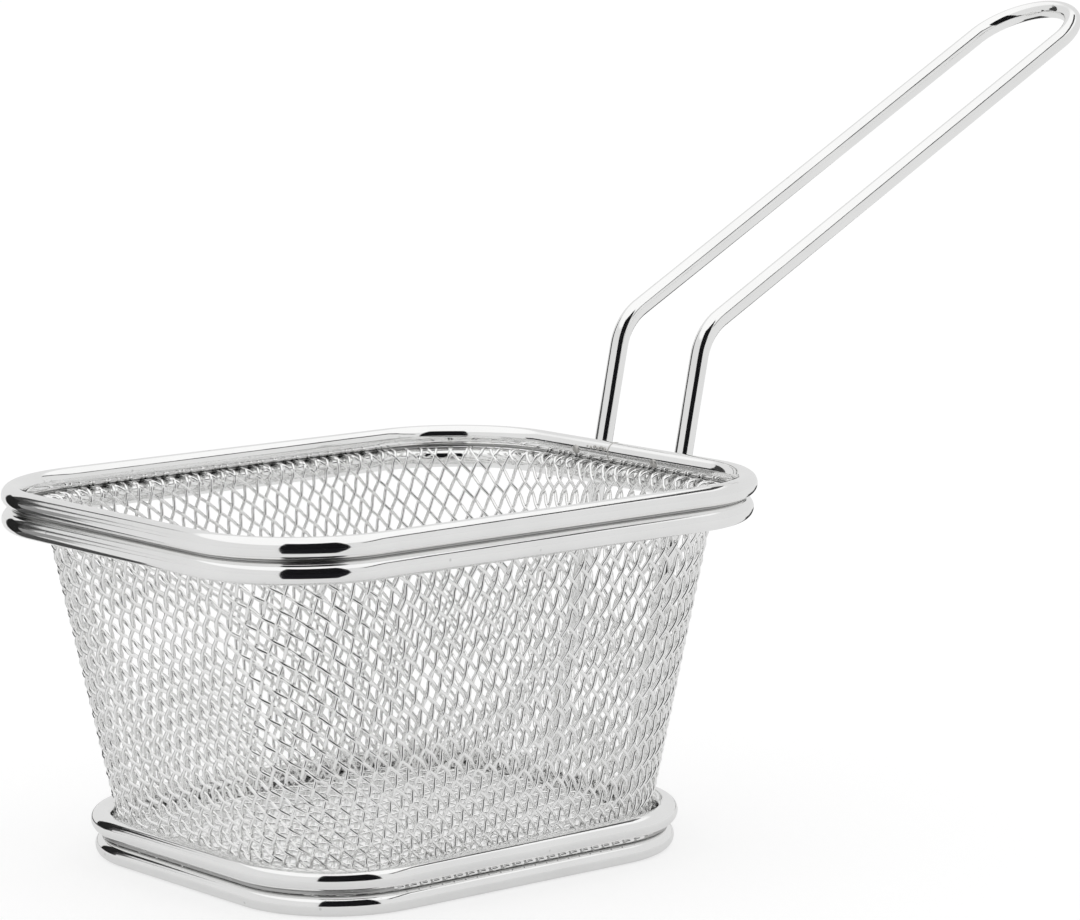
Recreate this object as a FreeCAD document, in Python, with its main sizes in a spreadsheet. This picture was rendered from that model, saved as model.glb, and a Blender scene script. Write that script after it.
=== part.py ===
import FreeCAD, Part
import math
import os
import Sketcher

# Small rounded-rectangular fry serving basket of welded stainless wire and woven wire cloth.
# Frame: origin at the centre of the base on its resting plane, +Z up, handle towards +X.
# Everything is in millimetres and mirror-symmetric about the XZ plane.

doc = FreeCAD.newDocument("FryServingBasket")
V = FreeCAD.Vector

# Driving dimensions
SIZES = [
    ("RimLength", 105, "rim over the wire, along the handle"),
    ("RimWidth", 85, "rim over the wire, across the handle"),
    ("RimCorner", 19, "bend radius of the rim wire, at its centre"),
    ("BaseLength", 82, "upper base ring over the wire, along the handle"),
    ("BaseWidth", 71, "upper base ring over the wire, across the handle"),
    ("BaseCorner", 17.5, "bend radius of the base wire, at its centre"),
    ("BaseInset", 0.6, "how far the lower base ring stands in from the upper one"),
    ("BasketHeight", 59.5, "resting plane to the top of the rim"),
    ("RingWire", 3.4, "diameter of the four ring wires"),
    ("EdgeThickness", 0.3, "pressed edge of the wire cloth, between two rings"),
    ("EdgeOverlap", 0.8, "how far a cloth edge reaches past the centre of the ring wire"),
    ("WallInsetTop", 3.0, "rim wire centre to the middle of the cloth, under the rim"),
    ("WallInsetBase", 2.7, "base wire centre to the middle of the cloth, above the base"),
    ("WallCornerTop", 21.5, "corner radius of the cloth under the rim"),
    ("WallCornerBase", 16.5, "corner radius of the cloth above the base"),
    ("StrandWidth", 2.0, "width of one strand of the wall, along the wall"),
    ("StrandThickness", 0.6, "thickness of one strand of the wall"),
    ("FloorStrandWidth", 1.6, "width of one strand of the floor"),
    ("FloorStrandThickness", 0.28, "thickness of one strand of the floor"),
    ("WeaveClearance", 0.02, "room between two strands where they cross"),
    ("StripWidth", 1.2, "floor edge that shows inside the wall edge"),
    ("HandleWire", 3.0, "diameter of the handle wire"),
    ("HandleSpacing", 20, "distance between the two sides of the handle, centre to centre"),
    ("HandleFoot", 1.5, "leg end below the middle of the upper base ring"),
    ("KneeHeight", 78.4, "resting plane to where the leg and the grip lines meet"),
    ("KneeRadius", 9, "bend radius at the knee, at the wire centre"),
    ("GripSlope", 28, "rise of the grip above the horizontal, in degrees"),
    ("GripLength", 93.5, "knee point to the start of the end loop"),
]
LONG_STEPS = 8
SHORT_STEPS = 6
CORNER_STEPS = 5
HALF_ROWS = 8
FLOOR_STRANDS_ALONG = 6
FLOOR_STRANDS_ACROSS = 8

sheet = doc.addObject("Spreadsheet::Sheet", "Sizes")
for row, (alias, value, meaning) in enumerate(SIZES, 1):
    sheet.set(f"A{row}", alias)
    sheet.set(f"B{row}", str(value))
    sheet.set(f"C{row}", meaning)
    sheet.setAlias(f"B{row}", alias)
doc.recompute()


def size(alias):
    """One driving dimension as a plain number."""
    return float(sheet.get(alias))


def cell(text):
    """An expression in which each alias reads its cell of the sheet."""
    for alias, _, _ in sorted(SIZES, key=lambda entry: -len(entry[0])):
        text = text.replace("$" + alias, "Sizes." + alias)
    return text


# Derived places, as expressions for the document and as numbers for the woven solids
BASE_RING_UPPER_Z = "($RingWire * 1.5 + 2 * $EdgeThickness)"
RIM_RING_UPPER_Z = "($BasketHeight - $RingWire / 2)"
RIM_SPACING = "($RingWire + $EdgeThickness)"
LEG_RUN = "(($RimLength - $BaseLength) / 2)"
LEG_RISE = f"({RIM_RING_UPPER_Z} - {BASE_RING_UPPER_Z})"
LEG_LEAN = f"atan({LEG_RUN} / {LEG_RISE})"
LEG_STANDOFF = "(($RingWire + $HandleWire) / 2)"
RIM_STEP = f"({RIM_SPACING} * {LEG_RUN} / {LEG_RISE})"


def number(expression):
    """The value of a derived expression, worked out from the same cells."""
    result = sheet.evalExpression(cell(expression))
    return float(getattr(result, "Value", result))


def origin_plane(body, role):
    for feature in body.Origin.OriginFeatures:
        if feature.Role == role:
            return feature
    raise ValueError(role)


def wire_section(body, name, role, centre, wire, offset=("0", "0", "0"), tilt=None):
    """The round section of a wire in a sketch on one of the body's planes.

    centre is in the sketch, offset moves the sketch from the plane, and tilt leans it about its Y.
    """
    sketch = body.newObject("Sketcher::SketchObject", name)
    sketch.AttachmentSupport = [(origin_plane(body, role), "")]
    sketch.MapMode = "FlatFace"
    if tilt is not None:
        sketch.AttachmentOffset = FreeCAD.Placement(V(), FreeCAD.Rotation(V(0, 1, 0), 1))
        sketch.setExpression(".AttachmentOffset.Rotation.Angle", cell(tilt))
    for direction, distance in zip("xyz", offset):
        if distance != "0":
            sketch.setExpression(f".AttachmentOffset.Base.{direction}", cell(distance))
    place = V(number(centre[0]), number(centre[1]), 0)
    sketch.addGeometry(Part.Circle(place, V(0, 0, 1), number(wire) / 2))
    driven = [("DistanceX", centre[0], (-1, 1, 0, 3)), ("DistanceY", centre[1], (-1, 1, 0, 3)), ("Diameter", wire, (0,))]
    for kind, value, where in driven:
        index = sketch.addConstraint(Sketcher.Constraint(kind, *where, number(value)))
        if value != "0":
            sketch.setExpression(f"Constraints[{index}]", cell(value))
    return sketch


def straight(body, name, section, length):
    """A straight run of wire from its section."""
    run = body.newObject("PartDesign::Pad", name)
    run.Profile = section
    run.setExpression("Length", cell(length))
    body.Tip = run
    return run


def bend(body, name, section, axis, angle):
    """A bend of wire from its section, about an axis of the section's sketch."""
    turn = body.newObject("PartDesign::Revolution", name)
    turn.Profile = section
    turn.ReferenceAxis = (section, [axis])
    turn.setExpression("Angle", cell(angle))
    body.Tip = turn
    return turn


def mirrored(body, name, originals, roles):
    """Mirrors features over one or two of the body's planes."""
    copies = body.newObject("PartDesign::MultiTransform", name)
    planes = []
    for role in roles:
        plane = body.newObject("PartDesign::Mirrored", f"{name}_{role}")
        plane.MirrorPlane = (origin_plane(body, role), [""])
        planes.append(plane)
    copies.Originals = originals
    copies.Transformations = planes
    body.Tip = copies
    return copies


def ring(label, length, width, corner, height, shift="0"):
    """One closed ring of round wire, bent to a rounded rectangle and laid level.

    A quarter is half of a long side, a corner bend and half of a short side; the rest mirrors it.
    """
    half_long = f"({length} / 2 - {corner})"
    half_short = f"({width} / 2 - {corner})"
    body = doc.addObject("PartDesign::Body", label)
    section = wire_section(body, label + "_long_section", "YZ_Plane", (f"-{width} / 2", "0"), "$RingWire")
    long_side = straight(body, label + "_long_side", section, half_long)
    offset = (f"-{half_short}", "0", half_long)
    section = wire_section(body, label + "_bend_section", "YZ_Plane", (f"-{corner}", "0"), "$RingWire", offset)
    corner_bend = bend(body, label + "_bend", section, "V_Axis", "90")
    section = wire_section(body, label + "_short_section", "XZ_Plane", (f"{length} / 2", "0"), "$RingWire")
    short_side = straight(body, label + "_short_side", section, half_short)
    doc.recompute()
    mirrored(body, label + "_quarters", [long_side, corner_bend, short_side], ("YZ_Plane", "XZ_Plane"))
    if shift != "0":
        body.setExpression(".Placement.Base.x", cell(shift))
    body.setExpression(".Placement.Base.z", cell(height))
    return body


# The four rings: two at the rim and two at the base, each pair with cloth edges between
ring(
    "base_ring_lower",
    "($BaseLength - $RingWire - 2 * $BaseInset)",
    "($BaseWidth - $RingWire - 2 * $BaseInset)",
    "($BaseCorner - $BaseInset)",
    "$RingWire / 2",
)
ring(
    "base_ring_upper",
    "($BaseLength - $RingWire)",
    "($BaseWidth - $RingWire)",
    "$BaseCorner",
    BASE_RING_UPPER_Z,
)
# The lower rim ring stops short on the handle side, so that a leaning leg touches both rim rings
ring(
    "rim_ring_lower",
    f"($RimLength - $RingWire - {RIM_STEP})",
    "($RimWidth - $RingWire)",
    "$RimCorner",
    f"{RIM_RING_UPPER_Z} - {RIM_SPACING}",
    f"-{RIM_STEP} / 2",
)
ring(
    "rim_ring_upper",
    "($RimLength - $RingWire)",
    "($RimWidth - $RingWire)",
    "$RimCorner",
    RIM_RING_UPPER_Z,
)


def handle():
    """One wire: a foot beside the base rings, a leaning leg, a knee, the grip and the end loop.

    The body's own Z runs up the leg, so its Placement leans with the wall of the basket.
    """
    turn = f"(90deg - $GripSlope * 1deg - {LEG_LEAN})"
    setback = f"($KneeRadius * tan({turn} / 2))"
    knee_rise = f"($KneeHeight - {BASE_RING_UPPER_Z}) / cos({LEG_LEAN})"
    leg_length = f"({knee_rise} + {LEG_STANDOFF} * tan({LEG_LEAN}) + $HandleFoot)"
    side = ("0", "$HandleSpacing / 2")

    body = doc.addObject("PartDesign::Body", "handle_wire")
    section = wire_section(body, "handle_foot_section", "XY_Plane", side, "$HandleWire")
    leg = straight(body, "handle_leg", section, f"{leg_length} - {setback}")
    offset = ("$KneeRadius", "0", f"{leg_length} - {setback}")
    centre = ("-$KneeRadius", side[1])
    section = wire_section(body, "handle_knee_section", "XY_Plane", centre, "$HandleWire", offset)
    knee = bend(body, "handle_knee", section, "V_Axis", turn)
    offset = (f"{setback} * sin({turn})", "0", f"{leg_length} + {setback} * cos({turn})")
    section = wire_section(body, "handle_grip_section", "XY_Plane", side, "$HandleWire", offset, turn)
    grip = straight(body, "handle_grip", section, f"$GripLength - {setback}")
    doc.recompute()
    mirrored(body, "handle_sides", [leg, knee, grip], ("XZ_Plane",))
    doc.recompute()
    offset = (f"$GripLength * sin({turn})", "0", f"{leg_length} + $GripLength * cos({turn})")
    section = wire_section(body, "handle_loop_section", "XY_Plane", side, "$HandleWire", offset, turn)
    bend(body, "handle_loop", section, "H_Axis", "180")

    foot_drop = f"({LEG_STANDOFF} * sin({LEG_LEAN}) + $HandleFoot * cos({LEG_LEAN}))"
    foot_out = f"({LEG_STANDOFF} * cos({LEG_LEAN}) - $HandleFoot * sin({LEG_LEAN}))"
    body.Placement = FreeCAD.Placement(V(), FreeCAD.Rotation(V(0, 1, 0), 1))
    body.setExpression(".Placement.Base.x", cell(f"($BaseLength - $RingWire) / 2 + {foot_out}"))
    body.setExpression(".Placement.Base.z", cell(f"{BASE_RING_UPPER_Z} - {foot_drop}"))
    body.setExpression(".Placement.Rotation.Angle", cell(LEG_LEAN))
    return body


handle()


def rounded_face(length, width, corner, height):
    """A flat rounded rectangle about the Z axis at one height."""
    x = length / 2
    y = width / 2
    cut = corner * (1 - math.sqrt(0.5))
    edges = []
    for sx, sy in ((1, -1), (1, 1), (-1, 1), (-1, -1)):
        ends = [V(sx * (x - corner), sy * y, height), V(sx * x, sy * (y - corner), height)]
        if sx * sy > 0:
            ends.reverse()
        edges.append((ends[0], V(sx * (x - cut), sy * (y - cut), height), ends[1]))
    wire = []
    for index, (start, middle, end) in enumerate(edges):
        wire.append(Part.Arc(start, middle, end).toShape())
        wire.append(Part.makeLine(end, edges[(index + 1) % 4][0]))
    return Part.Face(Part.Wire(wire))


def strand_solid(sections):
    """A strand from its four-cornered sections: flat triangles from each section to the next."""
    faces = []

    def triangle(a, b, c):
        faces.append(Part.Face(Part.makePolygon([a, b, c, a])))

    for this, following in zip(sections[:-1], sections[1:]):
        for corner in range(4):
            other = (corner + 1) % 4
            triangle(this[corner], this[other], following[other])
            triangle(this[corner], following[other], following[corner])
    for end in (sections[0], sections[-1]):
        triangle(end[0], end[1], end[2])
        triangle(end[0], end[2], end[3])
    solid = Part.makeSolid(Part.makeShell(faces))
    if solid.Volume < 0:
        solid.reverse()
    return solid


def outline_vertices(length, width, corner, outward):
    """The corner points of a rounded rectangle that is folded into flat facets."""
    x = length / 2 - corner
    y = width / 2 - corner
    radius = corner + outward
    points = []
    for cx, cy, start, steps in (
        (x, y, 0, LONG_STEPS),
        (-x, y, 90, SHORT_STEPS),
        (-x, -y, 180, LONG_STEPS),
        (x, -y, 270, SHORT_STEPS),
    ):
        for step in range(CORNER_STEPS + 1):
            angle = math.radians(start + 90 * step / CORNER_STEPS)
            points.append(V(cx + radius * math.cos(angle), cy + radius * math.sin(angle), 0))
        run = V(-math.sin(math.radians(start + 90)), math.cos(math.radians(start + 90)), 0)
        side = 2 * (x if start in (0, 180) else y)
        last = points[-1]
        for step in range(1, steps):
            points.append(last + run * (side * step / steps))
    return points


def wall_mesh():
    """Woven wall on the bias: two families of strands that pass over and under each other."""
    ring_wire = size("RingWire")
    edge = size("EdgeThickness")
    half = size("StrandThickness") / 2
    sway = half + size("WeaveClearance") / 2
    reach = sway + half
    base_z = 1.5 * edge + ring_wire
    top_z = size("BasketHeight") - ring_wire - edge / 2
    base = (
        size("BaseLength") - ring_wire - 2 * size("WallInsetBase"),
        size("BaseWidth") - ring_wire - 2 * size("WallInsetBase"),
        size("WallCornerBase"),
    )
    top = (
        size("RimLength") - ring_wire - 2 * size("WallInsetTop"),
        size("RimWidth") - ring_wire - 2 * size("WallInsetTop"),
        size("WallCornerTop"),
    )
    columns = {}
    for outward in (-reach, -sway, 0, sway, reach, sway - half, half - sway):
        columns[outward] = (outline_vertices(*base, outward), outline_vertices(*top, outward))
    count = len(columns[0][0])

    def place(step, fraction, outward):
        low, high = columns[outward]
        whole = math.floor(step)
        part = step - whole
        foot = low[whole % count] * (1 - part) + low[(whole + 1) % count] * part
        head = high[whole % count] * (1 - part) + high[(whole + 1) % count] * part
        spot = foot * (1 - fraction) + head * fraction
        spot.z = base_z * (1 - fraction) + top_z * fraction
        return spot

    half_width = size("StrandWidth") / 2 / (top_z - base_z)
    half_steps = half_width * HALF_ROWS

    def strand(start, direction):
        sections = []
        for row in range(HALF_ROWS + 1):
            step = start + direction * row
            fraction = row / HALF_ROWS
            over = (step % 2 == 0) == (direction > 0)
            middle = sway if over else -sway
            outer = sway + half if over else half - sway
            inner = sway - half if over else -sway - half
            if row in (0, HALF_ROWS):
                slide = direction * half_steps
                upper = place(step - slide, fraction, middle)
                lower = place(step + slide, fraction, middle)
            else:
                upper = place(step, fraction + half_width, middle)
                lower = place(step, fraction - half_width, middle)
            sections.append([place(step, fraction, outer), upper, place(step, fraction, inner), lower])
        return strand_solid(sections)

    pieces = []
    for start in range(0, count, 2):
        pieces.append(strand(start, 1))
        pieces.append(strand(start, -1))
    for outline, wire, height in ((base, "Base", base_z), (top, "Rim", top_z)):
        length, width, corner = outline
        outer = rounded_face(
            size(wire + "Length") - ring_wire + 2 * size("EdgeOverlap"),
            size(wire + "Width") - ring_wire + 2 * size("EdgeOverlap"),
            size(wire + "Corner") + size("EdgeOverlap"),
            height - edge / 2,
        )
        inner = rounded_face(
            length - 2 * reach,
            width - 2 * reach,
            corner - reach,
            height - edge / 2,
        )
        pieces.append(outer.cut(inner).extrude(V(0, 0, edge)))
    return pieces[-1].multiFuse(pieces[:-1])


def floor_mesh():
    """Woven floor, square to the base, whose edge strip lies between the two base rings."""
    ring_wire = size("RingWire")
    edge = size("EdgeThickness")
    half = size("FloorStrandThickness") / 2
    sway = half + size("WeaveClearance") / 2
    half_width = size("FloorStrandWidth") / 2
    wall_reach = size("StrandThickness") + size("WeaveClearance") / 2
    inset = size("WallInsetBase") + wall_reach + size("StripWidth")
    length = size("BaseLength") - ring_wire - 2 * inset
    width = size("BaseWidth") - ring_wire - 2 * inset
    corner = size("WallCornerBase") - wall_reach - size("StripWidth")
    bottom = ring_wire
    middle = bottom + edge
    seat = bottom + edge / 2

    outer = rounded_face(
        size("BaseLength") - ring_wire + 2 * size("EdgeOverlap"),
        size("BaseWidth") - ring_wire + 2 * size("EdgeOverlap"),
        size("BaseCorner") + size("EdgeOverlap"),
        bottom,
    )
    strip = outer.cut(rounded_face(length, width, corner, bottom)).extrude(V(0, 0, edge))

    def end_of(across, half_along, half_across):
        """Half the length of a strand that lies so far from the middle, to just inside the strip."""
        beyond = max(0, abs(across) + half_width - (half_across - corner))
        return half_along - corner + math.sqrt(corner**2 - beyond**2) + size("StripWidth") / 2

    def spread(number_of_strands, span):
        pitch = span / (number_of_strands + 1)
        return [pitch * (index + 1) - span / 2 for index in range(number_of_strands)]

    along_places = spread(FLOOR_STRANDS_ALONG, width)
    across_places = spread(FLOOR_STRANDS_ACROSS, length)

    def strand(across, own, crossings, half_along, half_across, turn):
        end = end_of(across, half_along, half_across)
        spots = [(-end, seat)]
        for index, along in enumerate(crossings):
            if abs(along) < end - size("StripWidth"):
                over = (own + index) % 2 == turn
                spots.append((along, middle + sway if over else middle - sway))
        spots.append((end, seat))
        sections = []
        for along, height in spots:
            corners = [
                (along, across, height + half),
                (along, across + half_width, height),
                (along, across, height - half),
                (along, across - half_width, height),
            ]
            sections.append([V(b, a, c) if turn else V(a, b, c) for a, b, c in corners])
        return strand_solid(sections)

    pieces = []
    for own, across in enumerate(along_places):
        pieces.append(strand(across, own, across_places, length / 2, width / 2, 0))
    for own, across in enumerate(across_places):
        pieces.append(strand(across, own, along_places, width / 2, length / 2, 1))
    return strip.multiFuse(pieces)


def woven(label, shape):
    """A woven piece as a document object at the part's origin."""
    feature = doc.addObject("Part::Feature", label)
    feature.Shape = shape
    feature.Placement = FreeCAD.Placement()
    return feature


woven("wall_mesh", wall_mesh())
woven("floor_mesh", floor_mesh())

doc.recompute()

NODES = [
    "rim_ring_upper",
    "rim_ring_lower",
    "base_ring_upper",
    "base_ring_lower",
    "wall_mesh",
    "floor_mesh",
    "handle_wire",
]
for item in doc.Objects:
    if "Invalid" in item.State or "Error" in item.State:
        raise RuntimeError(f"{item.Name} did not build: {item.State}")
for name in NODES:
    shape = doc.getObject(name).Shape
    if shape.isNull() or not shape.isValid():
        raise RuntimeError(f"{name} has no valid shape")

os.makedirs("parts", exist_ok=True)
for name in NODES:
    node = doc.getObject(name)
    node.Label = name
    node.Shape.exportStep(f"parts/{name}.step")
    box = node.Shape.BoundBox
    print(
        f"{name}: {len(node.Shape.Solids)} solid, {node.Shape.Volume:.1f} mm3,",
        f"x {box.XMin:.2f}..{box.XMax:.2f}, y {box.YMin:.2f}..{box.YMax:.2f}, z {box.ZMin:.2f}..{box.ZMax:.2f}",
    )
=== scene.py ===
import bisect
import math
import random

import bmesh
import bpy
from mathutils import Matrix, Vector


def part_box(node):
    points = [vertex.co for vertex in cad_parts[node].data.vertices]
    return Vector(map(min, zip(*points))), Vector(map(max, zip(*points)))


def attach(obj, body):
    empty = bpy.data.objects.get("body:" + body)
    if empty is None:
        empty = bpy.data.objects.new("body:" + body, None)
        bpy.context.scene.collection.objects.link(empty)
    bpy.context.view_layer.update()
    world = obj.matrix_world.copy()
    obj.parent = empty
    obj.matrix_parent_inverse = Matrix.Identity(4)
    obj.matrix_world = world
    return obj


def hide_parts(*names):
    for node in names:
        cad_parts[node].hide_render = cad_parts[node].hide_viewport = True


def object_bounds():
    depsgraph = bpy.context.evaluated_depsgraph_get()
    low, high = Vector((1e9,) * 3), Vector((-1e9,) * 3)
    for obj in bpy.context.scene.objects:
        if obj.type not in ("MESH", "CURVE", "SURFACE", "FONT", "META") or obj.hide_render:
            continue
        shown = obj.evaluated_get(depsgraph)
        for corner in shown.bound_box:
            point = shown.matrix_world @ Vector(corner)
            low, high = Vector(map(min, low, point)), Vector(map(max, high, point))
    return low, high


bl_info = {
    "name": "Fry Serving Basket",
    "version": (1, 0, 0),
    "blender": (4, 5, 0),
    "location": "View3D > Sidebar > Basket",
    "description": "Small polished wire basket with woven wire walls and a looped wire handle",
    "category": "Object",
}

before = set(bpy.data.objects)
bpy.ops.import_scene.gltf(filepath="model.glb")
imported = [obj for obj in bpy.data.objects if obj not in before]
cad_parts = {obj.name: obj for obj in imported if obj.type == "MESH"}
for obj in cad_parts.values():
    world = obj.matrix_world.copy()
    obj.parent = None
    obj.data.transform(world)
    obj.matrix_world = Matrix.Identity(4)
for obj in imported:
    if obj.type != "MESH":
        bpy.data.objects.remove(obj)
CAD_LOW, CAD_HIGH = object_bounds()

MM = 0.001
BODY = "root"
PLACE_ON_WIRE = "place_on_wire"

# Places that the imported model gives
RIM_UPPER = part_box("rim_ring_upper")
RIM_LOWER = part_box("rim_ring_lower")
BASE_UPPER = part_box("base_ring_upper")
BASE_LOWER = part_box("base_ring_lower")
RING_WIRE = RIM_UPPER[1].z - RIM_UPPER[0].z
RIM_GAP_Z = (RIM_UPPER[0].z + RIM_LOWER[1].z) / 2
BASE_GAP_Z = (BASE_UPPER[0].z + BASE_LOWER[1].z) / 2


def length_property(name, description, default):
    """A length in metres that a user may change."""
    return bpy.props.FloatProperty(
        name=name, description=description, default=default, min=0.0, precision=5, unit="LENGTH"
    )


def angle_property(name, description, degrees):
    """An angle that a user may change."""
    return bpy.props.FloatProperty(
        name=name, description=description, default=math.radians(degrees), unit="ROTATION"
    )


def colour_property(name, description, default):
    """A colour that a user may change."""
    return bpy.props.FloatVectorProperty(
        name=name, description=description, default=default, size=3, min=0.0, max=1.0, subtype="COLOR"
    )


def share_property(name, description, default):
    """A plain number from 0 to 1."""
    return bpy.props.FloatProperty(
        name=name, description=description, default=default, min=0.0, max=1.0, subtype="FACTOR"
    )


class BasketSizes(bpy.types.PropertyGroup):
    """Sizes of the wires, bends and cloth."""

    rim_corner: length_property("Rim corner", "Bend radius of the rim rings, at the wire centre", 0.019)
    base_corner: length_property("Base corner", "Bend radius of the upper base ring", 0.0175)
    wall_inset_top: length_property("Wall inset, top", "Rim wire centre to the cloth", 0.003)
    wall_inset_base: length_property("Wall inset, base", "Base wire centre to the cloth", 0.0027)
    wall_corner_top: length_property("Wall corner, top", "Corner radius of the cloth at the rim", 0.0215)
    wall_corner_base: length_property("Wall corner, base", "Corner radius of the cloth at the base", 0.0165)
    rim_hold: length_property("Rim hold", "How far inside the ring centre the cloth ends stop", 0.0003)
    cloth_wire: length_property("Cloth wire", "Diameter of one wire of the cloth", 0.00056)
    floor_pitch: length_property("Floor pitch", "Distance between the wires of the floor", 0.0023)
    floor_turn: angle_property("Floor turn", "Lie of the floor cloth from the long side", -40.0)
    handle_wire: length_property("Handle wire", "Diameter of the handle wire", 0.003)
    handle_spacing: length_property("Handle spacing", "Distance between the two legs", 0.020)
    handle_foot: length_property("Handle foot", "Leg end below the upper base ring", 0.0015)
    knee_height: length_property("Knee height", "Floor to where leg and grip meet", 0.0784)
    knee_radius: length_property("Knee radius", "Bend radius at the knee", 0.009)
    grip_slope: angle_property("Grip slope", "Rise of the grip above the horizontal", 28.0)
    grip_length: length_property("Grip length", "Knee to the start of the end loop", 0.0935)


class BasketFinish(bpy.types.PropertyGroup):
    """Colours and polish of the steel."""

    ring_colour: colour_property("Ring steel", "Polished steel of the rings and handle", (0.94, 0.94, 0.935))
    cloth_colour: colour_property("Cloth steel", "Bright drawn steel of the cloth wires", (0.97, 0.97, 0.96))
    weld_colour: colour_property("Weld steel", "Duller steel of the welds", (0.56, 0.55, 0.53))
    ring_roughness: share_property("Ring roughness", "Roughness of the polished wires", 0.07)
    cloth_roughness: share_property("Cloth roughness", "Roughness of the cloth wires", 0.03)


class BasketStage(bpy.types.PropertyGroup):
    """Floor, studio and camera."""

    floor_colour: colour_property("Floor", "Colour of the floor", (0.44, 0.44, 0.44))
    card_colour: colour_property("Dark card", "Colour of the card before the basket", (0.012, 0.012, 0.014))
    camera_azimuth: angle_property("Camera azimuth", "Turn of the camera about the basket", -39.644)
    camera_elevation: angle_property("Camera elevation", "Height of the camera above the horizon", 8.682)
    camera_roll: angle_property("Camera roll", "Turn of the camera about its own axis", -0.321)
    camera_distance: length_property("Camera distance", "Camera to the plane through the base", 0.69755)
    camera_right: length_property("Camera shift right", "Sideways place of the camera", 0.0245)
    camera_up: length_property("Camera shift up", "Height of the camera's aim", 0.061385)


# Making wires

RING_SIDES = 48
BEND_STEPS = 24
RING_STEPS = 4
LEG_STEPS = 8
GRIP_STEPS = 10
CLOTH_SIDES_RESOLUTION = 2
TOUCH = 1e-6
# Angle past which an edge stays sharp, in degrees
SHARP_ANGLE = 50.0
WELD_SHARP_ANGLE = 180.0
# Chamfer at the foot of a leg, as a share of the wire's radius
FOOT_CHAMFER = 0.16

# Weld beads: unevenness, smoothing and place beside the middle of a leg
WELD_SEED = 4
BEAD_SUBDIVISIONS = 3
BEAD_ROUGH = 0.16
BEAD_SMOOTHING = 0.5
BEAD_OFFSET = 0.95 * MM
BEAD_SINK = 0.1 * MM
BEAD_DROP = 0.3 * MM
# Half sizes of a bead: across the wire, along the rim and up
LEG_BEAD = Vector((0.5, 0.62, 1.1)) * MM
SPOT_BEAD = Vector((0.42, 0.85, 0.75)) * MM
PATCH_BEAD = Vector((0.5, 1.0, 0.8))
# How far from the wire's centre the rim's beads lie, as a share of its radius
SPOT_DEPTH = 0.96
PATCH_DEPTH = 0.98
# Place along the rim, turn below the inward side in degrees
RIM_SPOTS = ((11.0 * MM, -4.0), (-8.4 * MM, -12.0))
# Place along the rim, turn above the inward side in degrees, size
RIM_PATCH = (
    (3.9 * MM, 22.0, 0.5 * MM), (4.8 * MM, 28.0, 0.42 * MM), (5.5 * MM, 20.0, 0.46 * MM),
    (6.4 * MM, 27.0, 0.4 * MM), (7.3 * MM, 21.0, 0.34 * MM), (8.2 * MM, 25.0, 0.26 * MM),
)
# Butt joint of the rim wire: its place, the start of its bead, and the growth and step of each part of it
RIM_JOINT = 2.8 * MM
JOINT_START = 0.99
JOINT_BEAD = ((1.035, 0.05 * MM), (1.015, 0.08 * MM), (1.0, 0.1 * MM), (0.985, 0.08 * MM), (0.96, 0.05 * MM))


def new_piece(name, mesh, material):
    """Links a finished mesh as a piece of the basket that moves with its body."""
    piece = bpy.data.objects.new(name, mesh)
    bpy.context.scene.collection.objects.link(piece)
    mesh.materials.clear()
    mesh.materials.append(material)
    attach(piece, BODY)
    return piece


def start_wire(bm, radius, sides, place):
    """A round wire section at place, across its local Z. Gives the open edge."""
    made = bmesh.ops.create_circle(bm, cap_ends=False, segments=sides, radius=radius, matrix=place)
    layer = bm.verts.layers.float_vector[PLACE_ON_WIRE]
    for index, vert in enumerate(made["verts"]):
        turn = 2 * math.pi * index / sides
        vert[layer] = Vector((math.cos(turn), math.sin(turn), 0.0))
    return list({edge for vert in made["verts"] for edge in vert.link_edges})


def carry(bm, rim, change, travel):
    """Extrudes the open edge of a wire, moves it by change and counts the travel along the wire."""
    made = bmesh.ops.extrude_edge_only(bm, edges=rim)["geom"]
    verts = [item for item in made if isinstance(item, bmesh.types.BMVert)]
    bmesh.ops.transform(bm, matrix=change, verts=verts)
    layer = bm.verts.layers.float_vector[PLACE_ON_WIRE]
    for vert in verts:
        vert[layer] = vert[layer] + Vector((0.0, 0.0, travel))
    return [item for item in made if isinstance(item, bmesh.types.BMEdge)]


def carry_straight(bm, rim, way, steps):
    """Carries a wire along a straight run."""
    for _ in range(steps):
        rim = carry(bm, rim, Matrix.Translation(way / steps), way.length / steps)
    return rim


def carry_bend(bm, rim, centre, axis, angle, radius, steps):
    """Carries a wire round a bend."""
    turn = Matrix.Rotation(angle / steps, 4, axis)
    change = Matrix.Translation(centre) @ turn @ Matrix.Translation(-centre)
    for _ in range(steps):
        rim = carry(bm, rim, change, abs(angle) * radius / steps)
    return rim


def new_wire_bmesh():
    """An empty bmesh whose vertices know their place on the wire."""
    bm = bmesh.new()
    bm.verts.layers.float_vector.new(PLACE_ON_WIRE)
    return bm


def finish_mesh(bm, name, sharp_angle=SHARP_ANGLE):
    """Closes a bmesh into a smooth mesh with its faces outwards."""
    bmesh.ops.remove_doubles(bm, verts=bm.verts, dist=TOUCH)
    bmesh.ops.recalc_face_normals(bm, faces=bm.faces)
    mesh = bpy.data.meshes.new(name)
    bm.to_mesh(mesh)
    bm.free()
    mesh.shade_smooth()
    mesh.set_sharp_from_angle(angle=math.radians(sharp_angle))
    return mesh


def mirror_all(bm, axis):
    """Mirrors everything across the plane through the origin and joins it there."""
    geometry = bm.verts[:] + bm.edges[:] + bm.faces[:]
    bmesh.ops.mirror(bm, geom=geometry, matrix=Matrix.Identity(4), merge_dist=TOUCH, axis=axis)


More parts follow.
